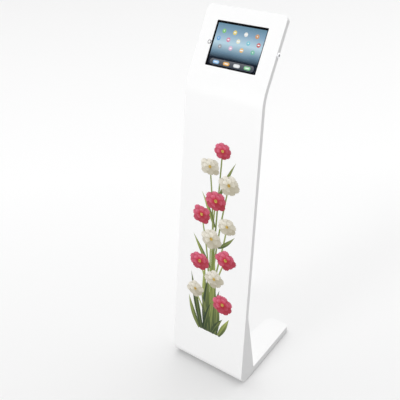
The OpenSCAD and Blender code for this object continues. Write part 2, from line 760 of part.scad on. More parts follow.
module door_foam_pad() color("dimgray") at_head() translate([0, 0, head_mid])
    slab(tablet_d + 0.1, body_t) round_rect(0.8*tablet_w, 0.75*tablet_h, 8);

// Hook on the door: a foot under its rivets, a stem, and a lip in front of the cam
module door_keeper() color("gray") difference() {
    at_head() translate([keeper_x[0], 0, head_mid]) {
        w = keeper_x[1] - keeper_x[0];
        translate([0, body_t - leaf_t, keeper_back - keeper_stem])
            cube([w, leaf_t, keeper_end - keeper_back + keeper_stem]);
        translate([0, keeper_lip_d - keeper_stem, keeper_back - keeper_stem])
            cube([w, body_t - keeper_lip_d + keeper_stem, keeper_stem]);
        translate([0, keeper_lip_d - keeper_stem, keeper_near])
            cube([w, keeper_stem, keeper_back - keeper_near]);
    }
    keeper_rivet_places() translate([0, 0, -door_t - leaf_t - over])
        cylinder(r = rivet[0] + run_fit, h = leaf_t + 2*over);
}

// Turning plug with a key slot outside and a square end for the cam inside
module lock_plug() color("gray") lock_axis() difference() {
    union() {
        translate([0, 0, barrel_end]) cylinder(r = plug_r, h = half_w + lock_flange_t - barrel_end);
        translate([0, 0, cam_x + cam_t]) cylinder(r = plug_r - 0.8, h = barrel_end - cam_x);
        translate([-spigot, -spigot, cam_x]) cube([2*spigot, 2*spigot, barrel_end - cam_x]);
    }
    translate([-2.6, -0.6, half_w + lock_flange_t - 7]) cube([5.2, 1.2, 7 + over]);
    translate([0, 0, cam_x - over]) cylinder(r = 1.25 + run_fit, h = 5 + over);
}

// Finger that points at the door when unlocked and turns behind the keeper's lip to lock
module lock_cam() color("silver") lock_axis() translate([0, 0, cam_x]) difference() {
    union() {
        cylinder(r = hub_r, h = cam_t);
        translate([-cam_half, 0, 0]) cube([2*cam_half, cam_reach, cam_t]);
    }
    translate([-spigot - run_fit, -spigot - run_fit, -over])
        cube([2*(spigot + run_fit), 2*(spigot + run_fit), cam_t + 2*over]);
}

module cam_screw() color("gray") lock_axis() translate([0, 0, cam_x]) mirror([0, 0, 1])
    bolt([1.25, 3, 1.6], 4);

// Cap retained by a flange behind the skin, its stem on the tablet's key
module home_cap() color("white") home_axis() rotate_extrude() polygon([
    [0, -cap_proud + 0.3], [cap_r - 1.2, -cap_proud], [cap_r - 0.4, -cap_proud],
    [cap_r, -cap_proud + 0.4], [cap_r, sheet + 0.05], [home_flange_r, sheet + 0.05],
    [home_flange_r, sheet + 0.05 + home_flange_t], [key_r - 1.5, sheet + 0.05 + home_flange_t],
    [key_r - 1.5, glass_d], [0, glass_d]]);

module tablet_home_key() color("black") home_axis()
    translate([0, 0, glass_d]) cylinder(r = key_r, h = key_t);

front_shell();
rear_panel();
rear_panel_screws();
foot_cover();
base_plate();
cover_screws();
shell_screws();
foot_pads();
spine_channel();
base_gussets();
gusset_bolts();
spine_bolts();
cable_grommet();
corner_brackets();
bracket_nuts();
front_gasket();
tablet_shell();
tablet_display();
tablet_glass();
home_ring();
lock_body();
lock_clip();
hinge_frame_leaf();
hinge_pin();
frame_rivets();
rear_door();
door_hinge_leaf();
door_rivets();
door_foam_pad();
door_keeper();
lock_plug();
lock_cam();
cam_screw();
home_cap();
tablet_home_key();
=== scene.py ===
import json
import math

import bmesh
import bpy
from mathutils import Euler, Matrix, Vector


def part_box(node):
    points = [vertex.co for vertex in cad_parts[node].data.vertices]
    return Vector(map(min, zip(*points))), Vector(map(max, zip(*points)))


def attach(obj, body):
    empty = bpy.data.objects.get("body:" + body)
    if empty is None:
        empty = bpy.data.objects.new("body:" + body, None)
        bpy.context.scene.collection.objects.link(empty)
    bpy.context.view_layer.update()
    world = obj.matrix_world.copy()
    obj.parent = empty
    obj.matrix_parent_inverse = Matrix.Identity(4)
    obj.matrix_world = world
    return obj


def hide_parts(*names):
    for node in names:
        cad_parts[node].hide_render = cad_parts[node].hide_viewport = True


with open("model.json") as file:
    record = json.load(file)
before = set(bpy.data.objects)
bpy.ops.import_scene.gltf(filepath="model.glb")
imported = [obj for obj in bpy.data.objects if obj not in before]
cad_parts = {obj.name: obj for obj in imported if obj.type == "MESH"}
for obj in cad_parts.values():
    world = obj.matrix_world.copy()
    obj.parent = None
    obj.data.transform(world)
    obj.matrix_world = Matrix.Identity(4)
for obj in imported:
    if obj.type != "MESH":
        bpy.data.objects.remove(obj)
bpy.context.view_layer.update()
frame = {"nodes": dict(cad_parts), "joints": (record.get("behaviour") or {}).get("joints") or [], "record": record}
cad_nodes = frame["nodes"]
MM = 0.001
ACROSS = Vector((1, 0, 0))

# View of the photograph, for an image of IMAGE_PX by IMAGE_PX
IMAGE_PX = 400
FOCAL_PX = 632.64
SENSOR_MM = 36.0
VIEW_PLACE = Vector((1.1497, -1.6229, 2.0518))
VIEW_AZIMUTH = math.radians(38.248)
VIEW_ELEVATION = math.radians(33.222)
VIEW_ROLL = math.radians(-3.661)

# Sky as it lights the stand, and as it is seen behind it
SKY_LIGHT = 0.565
SKY_SEEN = 0.92
# Each lamp: strength, then its softness, bearing to the right of the front and height in degrees
LAMPS = {
    "fill": (1.75, 20, -15, 4),
    "side": (0.12, 60, -90, 35),
    "rear": (1.52, 100, 180, 56),
}
# Grey of the floor in the light that it throws back on the stand
FLOOR_BOUNCE = 0.42
# Painted light and shade on the floor as it is seen: its grey along a line away from the camera between two
# distances, darker near the camera and far off, brightest between
FLOOR_PAINTED_LIGHT = [(0.0, 0.885), (0.12, 0.92), (0.30, 0.97), (0.55, 0.94), (1.0, 0.88)]
FLOOR_NEAR, FLOOR_FAR = 1.5, 8.0
FLOOR_REACH = 40.0

# A facet faces a direction when the cosine between them is above this
FACING = 0.96
# Rough way that the column faces
COLUMN_FRONT = Vector((0, -1, 0.17)).normalized()


# Places on the stand

def reach(node, direction):
    """How far a node reaches along a direction."""
    return max(v.co.dot(direction) for v in cad_nodes[node].data.vertices)


def widest_facet(node, direction):
    """Normal and corners of a node's largest triangle among those that face a direction."""
    mesh = cad_nodes[node].data
    facet = max((p for p in mesh.polygons if p.normal.dot(direction) > FACING), key=lambda p: p.area)
    return facet.normal.copy(), [mesh.vertices[i].co.copy() for i in facet.vertices]


def face_place(origin, out):
    """Matrix of a flat face: x across the stand, y up the face, z out of it."""
    up = out.cross(ACROSS)
    place = Matrix((ACROSS, up, out)).transposed().to_4x4()
    place.translation = origin
    return place


def local_box(node, place):
    """Lowest and highest corner of a node in a face's own directions."""
    inward = place.inverted()
    points = [inward @ v.co for v in cad_nodes[node].data.vertices]
    return (Vector([min(p[i] for p in points) for i in range(3)]),
            Vector([max(p[i] for p in points) for i in range(3)]))


column_out, column_corners = widest_facet("front_shell", COLUMN_FRONT)
column_foot = min(column_corners, key=lambda c: c.z)
column_place = face_place(Vector((0, column_foot.y, column_foot.z)), column_out)

press = next(j for j in frame["joints"] if j["name"] == "home_press")
screen_out = -Vector(press["axis"]).normalized()
screen_up = screen_out.cross(ACROSS)
display_lo, display_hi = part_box("tablet_display")
display_mid = (display_lo + display_hi)/2
screen_place = face_place(
    display_mid + (reach("tablet_display", screen_out) - display_mid.dot(screen_out))*screen_out,
    screen_out)


# Making of pieces

# Steps in a rounded corner of a panel
CORNER_STEPS = 8


def each_once(items):
    """Items in their order, without repeats."""
    return list(dict.fromkeys(items))


def finish_piece(name, bm, place, material, body):
    """Puts a modelled shape in its place on a body."""
    bmesh.ops.recalc_face_normals(bm, faces=bm.faces[:])
    bm.transform(place)
    mesh = bpy.data.meshes.new(name)
    bm.to_mesh(mesh)
    bm.free()
    mesh.materials.append(material)
    piece = bpy.data.objects.new(name, mesh)
    bpy.context.scene.collection.objects.link(piece)
    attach(piece, body)
    return piece


def raise_faces(bm, faces, height):
    """Thickens flat faces into a closed film of a height, keeping its underside."""
    made = bmesh.ops.extrude_face_region(bm, geom=faces, use_keep_orig=True)["geom"]
    corners = [g for g in made if isinstance(g, bmesh.types.BMVert)]
    bmesh.ops.translate(bm, verts=corners, vec=(0, 0, height))
    return [g for g in made if isinstance(g, bmesh.types.BMFace)]


def rounded_panel(bm, width, height, radius, centre):
    """One flat face with rounded corners."""
    corners = bmesh.ops.create_grid(bm, x_segments=1, y_segments=1, size=0.5, calc_uvs=True)["verts"]
    bmesh.ops.scale(bm, verts=corners, vec=(width, height, 1))
    bmesh.ops.translate(bm, verts=corners, vec=centre)
    made = bmesh.ops.bevel(bm, geom=corners, affect="VERTICES", offset=radius,
                           segments=CORNER_STEPS, profile=0.5, material=-1)
    outline = set(made["verts"])
    return next(f for f in bm.faces if outline.issuperset(f.verts))


# Wiring of materials

def grey(tone):
    return (tone, tone, tone)


class Wiring:
    """Adds and joins the nodes of one material, group or world."""

    # Places of the colour sockets on a Mix node
    MIX_FIRST, MIX_SECOND, MIX_RESULT = 6, 7, 2

    def __init__(self, tree):
        self.tree = tree

    def add(self, kind, inputs=None, **settings):
        """A node with its settings, and with values or links on its inputs."""
        node = self.tree.nodes.new(kind)
        for name, value in settings.items():
            setattr(node, name, value)
        for name, value in (inputs or {}).items():
            self.feed(node.inputs[name], value)
        return node

    def feed(self, socket, value):
        """Links an output to a socket, or sets a plain value on it."""
        if isinstance(value, bpy.types.NodeSocket):
            self.tree.links.new(value, socket)
        else:
            socket.default_value = value

    def calc(self, operation, first, second=0.0):
        node = self.add("ShaderNodeMath", {0: first, 1: second}, operation=operation)
        return node.outputs[0]

    def times(self, first, second):
        return self.calc("MULTIPLY", first, second)

    def plus(self, first, second):
        return self.calc("ADD", first, second)

    def minus(self, first, second):
        return self.calc("SUBTRACT", first, second)

    def span(self, value, low, high, from_low=0.0, from_high=1.0):
        """Runs from low to high while the value runs over its own range."""
        node = self.add("ShaderNodeMapRange", {"Value": value, "From Min": from_low,
                        "From Max": from_high, "To Min": low, "To Max": high})
        return node.outputs["Result"]

    def noise(self, vector, scale, detail=2.0, roughness=0.5):
        node = self.add("ShaderNodeTexNoise", {"Vector": vector, "Scale": scale, "Detail": detail,
                        "Roughness": roughness})
        return node.outputs["Fac"]

    def stretch(self, vector, scale):
        return self.add("ShaderNodeMapping", {"Vector": vector, "Scale": scale}).outputs["Vector"]

    def ramp(self, factor, stops):
        """Runs through colours, each at its position."""
        node = self.add("ShaderNodeValToRGB", {"Fac": factor})
        row = node.color_ramp.elements
        while len(row) < len(stops):
            row.new(0.5)
        for element, (position, colour) in zip(row, stops):
            element.position = position
            element.color = (*colour, 1)
        return node.outputs["Color"]

    def blend(self, factor, first, second):
        """Colour between two, which are outputs or plain colours."""
        node = self.add("ShaderNodeMix", {"Factor": factor}, data_type="RGBA")
        for place, colour in ((self.MIX_FIRST, first), (self.MIX_SECOND, second)):
            self.feed(node.inputs[place], (*colour, 1) if isinstance(colour, tuple) else colour)
        return node.outputs[self.MIX_RESULT]


def effect_group(name, numbers, outputs):
    """A shader node group with a vector, named numbers as inputs and numbers as outputs."""
    tree = bpy.data.node_groups.new(name, "ShaderNodeTree")
    tree.interface.new_socket("Vector", in_out="INPUT", socket_type="NodeSocketVector")
    for label in numbers:
        tree.interface.new_socket(label, in_out="INPUT", socket_type="NodeSocketFloat")
    for label in outputs:
        tree.interface.new_socket(label, in_out="OUTPUT", socket_type="NodeSocketFloat")
    wiring = Wiring(tree)
    return wiring, wiring.add("NodeGroupInput").outputs, wiring.add("NodeGroupOutput").inputs


def make_coat_texture():
    """Fine orange peel of sprayed coats and mouldings, with a faint unevenness of tone and gloss."""
    w, given, out = effect_group("coat_texture", ["Scale", "Mottle"], ["Height", "Tone", "Gloss"])
    place, scale = given["Vector"], given["Scale"]
    grit_scale, mottle_scale, gloss_scale = (w.times(scale, share) for share in (4.2, 0.006, 0.03))
    peel_share, grit_share = 0.8, 0.2
    peel = w.noise(place, scale, detail=2.0, roughness=0.45)
    grit = w.noise(place, grit_scale, detail=1.0)
    w.feed(out["Height"], w.plus(w.times(peel, peel_share), w.times(grit, grit_share)))
    mottle = w.noise(place, mottle_scale, detail=3.0, roughness=0.6)
    w.feed(out["Tone"], w.minus(1.0, w.times(mottle, given["Mottle"])))
    w.feed(out["Gloss"], w.noise(place, gloss_scale, detail=4.0, roughness=0.6))
    return w.tree


def make_brush_lines():
    """Long fine scratches of drawn, rolled or brushed metal."""
    w, given, out = effect_group("brush_lines", ["Scale"], ["Height", "Tone"])
    broad_scale = w.times(given["Scale"], 0.12)
    fine_share, broad_share = 0.6, 0.4
    fine = w.noise(given["Vector"], given["Scale"], detail=4.0, roughness=0.65)
    broad = w.noise(given["Vector"], broad_scale, detail=3.0, roughness=0.55)
    w.feed(out["Height"], fine)
    w.feed(out["Tone"], w.plus(w.times(fine, fine_share), w.times(broad, broad_share)))
    return w.tree


def make_zinc_spangle():
    """Flat crystals, each with its own tone."""
    w, given, out = effect_group("zinc_spangle", ["Scale"], ["Tone", "Height"])
    cells = w.add("ShaderNodeTexVoronoi", {"Vector": given["Vector"], "Scale": given["Scale"],
                  "Randomness": 1.0})
    split = w.add("ShaderNodeSeparateColor", {"Color": cells.outputs["Color"]})
    w.feed(out["Tone"], split.outputs["Red"])
    w.feed(out["Height"], cells.outputs["Distance"])
    return w.tree


def make_foam_cells():
    """Open pores of soft foam, with painted shade: the tone darkens towards the bottom of each pore, mixed with
    dust.
    """
    w, given, out = effect_group("foam_cells", ["Scale"], ["Height", "Tone"])
    pore_shade_share, dust_share = 0.7, 0.3
    pores = w.add("ShaderNodeTexVoronoi", {"Vector": given["Vector"], "Scale": given["Scale"]})
    depth = w.span(pores.outputs["Distance"], 0.0, 1.0, from_low=0.1, from_high=0.7)
    dust = w.noise(given["Vector"], scale=60.0, detail=3.0)
    w.feed(out["Height"], depth)
    # Painted shade: darker where a pore is deeper
    w.feed(out["Tone"], w.plus(w.times(depth, pore_shade_share), w.times(dust, dust_share)))
    return w.tree


def make_vein_streaks():
    """Streaks that run along a printed petal or leaf, on its own map."""
    w, given, out = effect_group("vein_streaks", ["Across", "Along"],
                                 ["Streak", "Along", "Across", "Side"])
    split = w.add("ShaderNodeSeparateXYZ", {"Vector": given["Vector"]})
    across, along = split.outputs["X"], split.outputs["Y"]
    fan = w.add("ShaderNodeCombineXYZ", {"X": w.times(across, given["Across"]),
                                         "Y": w.times(along, given["Along"])})
    w.feed(out["Streak"], w.noise(fan.outputs["Vector"], scale=1.0, detail=4.0, roughness=0.6))
    w.feed(out["Along"], along)
    w.feed(out["Across"], across)
    off_middle = w.calc("ABSOLUTE", w.minus(across, 0.5))
    w.feed(out["Side"], w.times(off_middle, 2.0))
    return w.tree


coat_texture = make_coat_texture()
brush_lines = make_brush_lines()
zinc_spangle = make_zinc_spangle()
foam_cells = make_foam_cells()
vein_streaks = make_vein_streaks()


class Finish(Wiring):
    """A material: its shader, its coordinates and the effects it places."""

    def __init__(self, name, **values):
        self.material = bpy.data.materials.new(name)
        self.material.use_nodes = True
        super().__init__(self.material.node_tree)
        self.shader = self.tree.nodes["Principled BSDF"]
        for label, value in values.items():
            self.shader.inputs[label.replace("_", " ")].default_value = value
        coordinates = self.add("ShaderNodeTexCoord")
        self.place = coordinates.outputs["Object"]
        self.map = coordinates.outputs["UV"]

    def effect(self, group, **values):
        return self.add("ShaderNodeGroup", values, node_tree=group).outputs

    def tint(self):
        """Outputs of the tint that the piece's faces carry."""
        return self.add("ShaderNodeAttribute", attribute_name="tint").outputs

    def colour(self, value):
        self.feed(self.shader.inputs["Base Color"], value)

    def glow(self, value):
        self.feed(self.shader.inputs["Emission Color"], value)

    def roughness(self, value):
        self.feed(self.shader.inputs["Roughness"], value)

    def bump(self, height, strength, depth):
        node = self.add("ShaderNodeBump", {"Height": height, "Strength": strength, "Distance": depth})
        self.feed(self.shader.inputs["Normal"], node.outputs["Normal"])


# Depth of each texture's relief, in metres
PEEL_DEPTH = 0.0003
SCRATCH_DEPTH = 0.0001
SPANGLE_DEPTH = 0.0002
PORE_DEPTH = 0.0006


def coated(name, pale, shade, scale, mottle, sharp, dull, bump, **values):
    """A sprayed coat or a moulding: two close tones, uneven gloss and a fine peel."""
    f = Finish(name, **values)
    skin = f.effect(coat_texture, Vector=f.place, Scale=scale, Mottle=mottle)
    f.colour(f.blend(skin["Tone"], shade, pale))
    f.roughness(f.span(skin["Gloss"], sharp, dull))
    f.bump(skin["Height"], bump, PEEL_DEPTH)
    return f.material


def brushed(name, pale, shade, scale, sharp, dull, bump, stretch=(1, 1, 1)):
    """A metal with long fine lines."""
    f = Finish(name, Metallic=1.0)
    lines = f.effect(brush_lines, Vector=f.stretch(f.place, stretch), Scale=scale)
    f.colour(f.blend(lines["Tone"], shade, pale))
    f.roughness(f.span(lines["Tone"], sharp, dull))
    f.bump(lines["Height"], bump, SCRATCH_DEPTH)
    return f.material


def make_galvanised():
    """Zinc on sheet steel, with its spangle."""
    f = Finish("galvanised_sheet", Metallic=1.0)
    spangle = f.effect(zinc_spangle, Vector=f.place, Scale=110.0)
    f.colour(f.blend(spangle["Tone"], (0.50, 0.52, 0.54), (0.68, 0.70, 0.72)))
    f.roughness(f.span(spangle["Tone"], low=0.32, high=0.5))
    f.bump(spangle["Height"], 0.12, SPANGLE_DEPTH)
    return f.material


def make_foam():
    """Black open foam, darker in its pores as painted shade."""
    f = Finish("black_foam", Specular_IOR_Level=0.2)
    cells = f.effect(foam_cells, Vector=f.place, Scale=700.0)
    f.colour(f.blend(cells["Tone"], (0.012, 0.012, 0.013), (0.055, 0.055, 0.058)))
    f.roughness(f.span(cells["Tone"], low=0.85, high=1.0))
    f.bump(cells["Height"], 0.6, PORE_DEPTH)
    return f.material


def make_glass():
    """Clear front glass with a trace of smears."""
    f = Finish("clear_glass", Transmission_Weight=1.0, IOR=1.1, Roughness=0.0)
    smear = f.noise(f.place, scale=18.0, detail=3.0, roughness=0.6)
    f.colour(f.blend(smear, (0.97, 0.985, 0.98), (0.99, 0.995, 0.995)))
    return f.material


# Sprayed coats and mouldings, by the slot that they fill
COATS = {
    "white_powder_coat": dict(pale=grey(0.935), shade=grey(0.86), scale=900.0, mottle=0.05,
                              sharp=0.42, dull=0.52, bump=0.10),
    "white_panel_coat": dict(pale=grey(0.90), shade=grey(0.82), scale=700.0, mottle=0.08,
                             sharp=0.42, dull=0.55, bump=0.16),
    "white_cap": dict(pale=grey(0.92), shade=grey(0.84), scale=1600.0, mottle=0.08,
                      sharp=0.30, dull=0.40, bump=0.06),
    "dark_base_steel": dict(pale=(0.060, 0.062, 0.066), shade=(0.025, 0.025, 0.028), scale=500.0,
                            mottle=0.7, sharp=0.42, dull=0.62, bump=0.25, Metallic=0.3),
    "pad_rubber": dict(pale=(0.035, 0.035, 0.037), shade=(0.018, 0.018, 0.019), scale=1200.0,
                       mottle=0.6, sharp=0.68, dull=0.85, bump=0.30),
    "bracket_plastic": dict(pale=(0.075, 0.076, 0.08), shade=(0.045, 0.045, 0.048), scale=1500.0,
                            mottle=0.4, sharp=0.44, dull=0.58, bump=0.22),
    "display_panel": dict(pale=(0.020, 0.022, 0.028), shade=(0.010, 0.011, 0.014), scale=300.0,
                          mottle=0.4, sharp=0.20, dull=0.30, bump=0.02),
    "black_key": dict(pale=(0.030, 0.030, 0.033), shade=(0.015, 0.015, 0.017), scale=1500.0,
                      mottle=0.5, sharp=0.30, dull=0.42, bump=0.08),
    "screen_border_black": dict(pale=(0.007, 0.007, 0.008), shade=(0.003, 0.003, 0.004), scale=400.0,
                                mottle=0.5, sharp=0.30, dull=0.40, bump=0.02, Specular_IOR_Level=0.0),
}
# Bare and plated metals, by the slot that they fill or by their own name
METALS = {
    "zinc_fasteners": dict(pale=(0.72, 0.73, 0.75), shade=(0.52, 0.53, 0.55), scale=1400.0,
                           sharp=0.24, dull=0.42, bump=0.08),
    "hinge_steel": dict(pale=(0.66, 0.67, 0.69), shade=(0.46, 0.47, 0.49), scale=900.0,
                        stretch=(1, 0.15, 0.08), sharp=0.26, dull=0.44, bump=0.10),
    "tablet_metal": dict(pale=(0.74, 0.75, 0.77), shade=(0.66, 0.67, 0.69), scale=2600.0,
                         sharp=0.36, dull=0.48, bump=0.06),
    # Chrome in lit and shaded copies: darkened as painted shade for the home ring and the lock plug, brightened as
    # painted light for the lock body
    "ring_chrome_painted_shade": dict(pale=(0.18, 0.18, 0.19), shade=(0.12, 0.12, 0.13), scale=600.0,
                             sharp=0.10, dull=0.22, bump=0.02),
    "lock_chrome_painted_light": dict(pale=(0.90, 0.90, 0.91), shade=(0.74, 0.75, 0.77), scale=600.0,
                               sharp=0.10, dull=0.22, bump=0.02),
    "lock_plug_painted_shade": dict(pale=(0.16, 0.16, 0.17), shade=(0.09, 0.09, 0.10), scale=900.0,
                           sharp=0.16, dull=0.30, bump=0.03),
}
# Chromed nodes, each with its own tone of chrome: painted shade in the darkened home ring and lock plug, painted
# light in the brightened lock body
CHROMED = {"home_ring": "ring_chrome_painted_shade", "lock_body": "lock_chrome_painted_light",
           "lock_plug": "lock_plug_painted_shade"}

finishes = {
    **{name: coated(name, **look) for name, look in COATS.items()},
    **{name: brushed(name, **look) for name, look in METALS.items()},
    "galvanised_steel": make_galvanised(),
    "black_foam": make_foam(),
    "tablet_glass": make_glass(),
}
for row in frame["record"]["subparts"]:
    mesh = cad_nodes[row["node"]].data
    mesh.materials.clear()
    mesh.materials.append(finishes[CHROMED.get(row["node"], row["material_slot"])])


# Printed spray of blossoms on the column, in millimetres across and up the face

# Height of the cut under the spray, and thickness of one layer of the print
PRINT_CUT = 142.0
FILM = 0.03
PRINT_GLOSS = 0.12
PRINT_ROUGHNESS = (0.36, 0.5)
# Points closer than this, in metres, are one point of a petal's root or a leaf's tip
POINT_MERGE = 1e-6
# Columns and rows of faces in each printed shape
PETAL_GRID, STEM_GRID, LEAF_GRID = (6, 8), (4, 24), (6, 20)
# Way to the light that the blossoms are drawn under
PRINT_LIGHT = Vector((-0.6, 0.8))
# Each ring of petals: count, length and half width as shares of the blossom's radius
PETAL_RINGS = [(8, 1.0, 0.46), (6, 0.64, 0.36)]
# Turn, light and lift that the inner ring has above the outer one
RING_TURN, RING_LIGHT, RING_LIFT = 0.5, 0.08, 0.5
# Lift of every second petal, and of each next one, in layers of print
OVERLAP_LIFT, NEXT_LIFT = 0.25, 0.02
# Light on a petal: its mean, and its part that follows the petal's direction
PETAL_LIGHT, PETAL_FALL = 0.5, 0.4
# Shape of a petal: place of its root as a share of its length, and power by which it widens from there
PETAL_ROOT, PETAL_GROWTH = 0.10, 0.62
# How much it narrows towards its tip, and how late
PETAL_NARROWING, NARROWING_POWER = 0.38, 7
# Its end: how far the sides fall back, then depth, lateness and count of its waves
PETAL_BOW, WAVE_DEPTH, WAVE_POWER, WAVE_COUNT = 0.10, 0.035, 4, 3
# Shape of a leaf: where on its belly it begins, width of its foot, lateness of its point
LEAF_START, LEAF_FOOT, POINT_POWER = 0.12, 0.30, 5
# Half width of a stem at its foot, and what it loses on the way up
STEM_FOOT, STEM_TAPER = 4.2, 1.2
# Place across of a stem's foot and upper bend, as shares of its blossom's, and sway of its lower bend
STEM_GATHER, STEM_SWAY, STEM_BACK = 0.14, 0.5, 0.3
# Heights of a stem's lower and upper bend, as shares of its rise
LOWER_BEND, UPPER_BEND = 0.45, 0.7
# Light on the first stem, and what each next one gains
STEM_LIGHT, STEM_LIGHT_STEP = 0.3, 0.06
# First layer of the stems, leaves and blossoms, and the step to each next one
STEM_LAYER, STEM_STEP = 1, 0.1
LEAF_LAYER, LEAF_STEP = 2.6, 0.2
BLOSSOM_LAYER, BLOSSOM_STEP = 6, 1.6
# Seed head: share of the blossom's radius, sides, lift above the petals in layers of print
SEED_SHARE, SEED_SIDES, SEED_LIFT = 0.15, 18, 1.1
# Each blossom: across, up, radius, tilt of its dish, turn, tint
BLOSSOMS = [
    (14, 928, 36, 0.86, 0.2, "rose"),
    (-36, 856, 42, 0.80, 0.9, "cream"),
    (50, 806, 44, 0.90, 0.5, "cream"),
    (-2, 728, 47, 0.84, 0.1, "rose"),
    (-62, 655, 42, 0.88, 0.7, "rose"),
    (54, 640, 41, 0.82, 0.3, "cream"),
    (-12, 566, 46, 0.90, 0.6, "cream"),
    (58, 498, 45, 0.86, 0.0, "rose"),
    (-60, 452, 46, 0.84, 0.4, "rose"),
    (12, 396, 43, 0.88, 0.8, "cream"),
    (-74, 318, 40, 0.86, 0.2, "cream"),
    (58, 296, 47, 0.90, 0.5, "rose"),
]
# Each leaf: foot, bend and tip on the face, half width, and how far it lies in the light
LEAVES = [
    ((-44, PRINT_CUT), (-84, 200), (-104, 282), 11, 0.7),
    ((-32, PRINT_CUT), (-66, 250), (-98, 396), 13, 0.2),
    ((-4, PRINT_CUT), (-38, 300), (-34, 470), 12, 0.9),
    ((-12, PRINT_CUT), (-26, 260), (-16, 400), 17, 0.1),
    ((22, PRINT_CUT), (14, 240), (40, 356), 18, 0.0),
    ((8, PRINT_CUT), (24, 300), (6, 520), 10, 0.8),
    ((48, PRINT_CUT), (72, 190), (94, 244), 12, 0.9),
    ((0, PRINT_CUT), (-6, 210), (-44, 306), 15, 0.3),
    ((34, PRINT_CUT), (44, 230), (24, 336), 13, 0.5),
    ((-22, PRINT_CUT), (-18, 200), (4, 286), 12, 0.0),
    ((16, PRINT_CUT), (34, 190), (64, 230), 11, 0.2),
    ((-10, 440), (-52, 500), (-96, 566), 9, 0.8),
    ((20, 540), (56, 560), (92, 610), 8, 0.5),
    ((0, 620), (-24, 680), (-66, 752), 8, 1.0),
    ((10, 740), (36, 830), (74, 900), 7, 0.6),
]


def bezier(points, t):
    """Point and direction on a curve through its first and last point."""
    row = [Vector(p) for p in points]
    for _ in range(len(points) - 2):
        row = [a.lerp(b, t) for a, b in zip(row, row[1:])]
    return row[0].lerp(row[1], t), (row[1] - row[0]).normalized()


def stray(amount, pace, k, start=0):
    """A small unevenness that is the same in every run."""
    return amount*math.sin(pace*k + start)


def new_print():
    """An empty mesh with a map and a tint."""
    bm = bmesh.new()
    bm.loops.layers.uv.new("UVMap")
    bm.loops.layers.float_color.new("tint")
    return bm


def tint_faces(bm, verts, tint):
    """Gives the faces around some points one tint."""
    layer = bm.loops.layers.float_color["tint"]
    for face in each_once(f for v in verts for f in v.link_faces):
        for loop in face.loops:
            loop[layer] = (*tint, 1)


def add_print(bm, grid, shape, height, light=0.5):
    """A printed shape: shape(side, along) gives its points, side from -1 to 1, along from 0 to 1."""
    columns, rows = grid
    made = bmesh.ops.create_grid(bm, x_segments=columns, y_segments=rows, size=1, calc_uvs=True)
    for v in made["verts"]:
        across, up = shape(v.co.x, (v.co.y + 1)/2)
        v.co = (across*MM, up*MM, 0)
    bmesh.ops.remove_doubles(bm, verts=made["verts"], dist=POINT_MERGE)
    verts = [v for v in made["verts"] if v.is_valid]
    top = raise_faces(bm, each_once(f for v in verts for f in v.link_faces), height*MM)
    tint_faces(bm, verts + [v for f in top for v in f.verts], grey(light))


def add_disc(bm, across, up, radius, height, sides, stretch=0.0):
    """A round or pill-shaped film. Gives its points."""
    points = bmesh.ops.create_circle(bm, cap_ends=True, segments=sides, radius=radius*MM,
                                     calc_uvs=True)["verts"]
    for v in points:
        v.co.x += math.copysign(stretch*MM, v.co.x)
    bmesh.ops.translate(bm, verts=points, vec=(across*MM, up*MM, 0))
    face = next(f for f in bm.faces if set(f.verts) == set(points))
    top = raise_faces(bm, [face], height*MM)
    return points + [v for f in top for v in f.verts]


def ribbon(points, half_width):
    """Shape of a strip along a curve."""
    def shape(side, along):
        middle, heading = bezier(points, along)
        w = side*half_width(along)
        return middle.x + heading.y*w, middle.y - heading.x*w
    return shape


def petal(centre, length, half, dish, angle):
    """Shape of a broad petal with a wavy end, on a dish seen from its side."""
    def shape(side, along):
        width = half*along**PETAL_GROWTH*(1 - PETAL_NARROWING*along**NARROWING_POWER)
        waves = WAVE_DEPTH*along**WAVE_POWER*math.cos(WAVE_COUNT*math.pi*side)
        tip = length*along*(1 - PETAL_BOW*side*side + waves)
        x, y = side*width, PETAL_ROOT*length + (1 - PETAL_ROOT)*tip
        across = x*math.cos(angle) - y*math.sin(angle)
        up = x*math.sin(angle) + y*math.cos(angle)
        return centre[0] + across, centre[1] + dish*up
    return shape


def stem_half(along):
    return STEM_FOOT - STEM_TAPER*along


def leaf_half(widest):
    """Half width of a leaf along it: a broad foot, a belly and a point."""
    def half_width(along):
        belly = math.sin(math.pi*min(1, LEAF_START + (1 - LEAF_START)*along))
        return widest*(LEAF_FOOT + (1 - LEAF_FOOT)*belly)*(1 - along**POINT_POWER)
    return half_width


def make_petal_print(name, root, body, edge, shadow):
    """A printed petal: dark at its root, streaked along it, bright where it lies in the light."""
    f = Finish(name, Specular_IOR_Level=PRINT_GLOSS)
    veins = f.effect(vein_streaks, Vector=f.map, Across=14.0, Along=1.4)
    tone = f.ramp(veins["Along"], [(0.0, root), (0.38, body), (1.0, edge)])
    dim = f.span(f.tint()["Fac"], low=0.85, high=0.0, from_low=0.05, from_high=0.95)
    streak = f.span(veins["Streak"], low=0.0, high=0.6, from_low=0.42, from_high=0.75)
    rim = f.span(veins["Side"], low=0.0, high=0.55, from_low=0.62, from_high=1.0)
    for share in (dim, streak, rim):
        tone = f.blend(share, tone, shadow)
    f.colour(tone)
    f.roughness(f.span(veins["Streak"], *PRINT_ROUGHNESS))
    return f.material


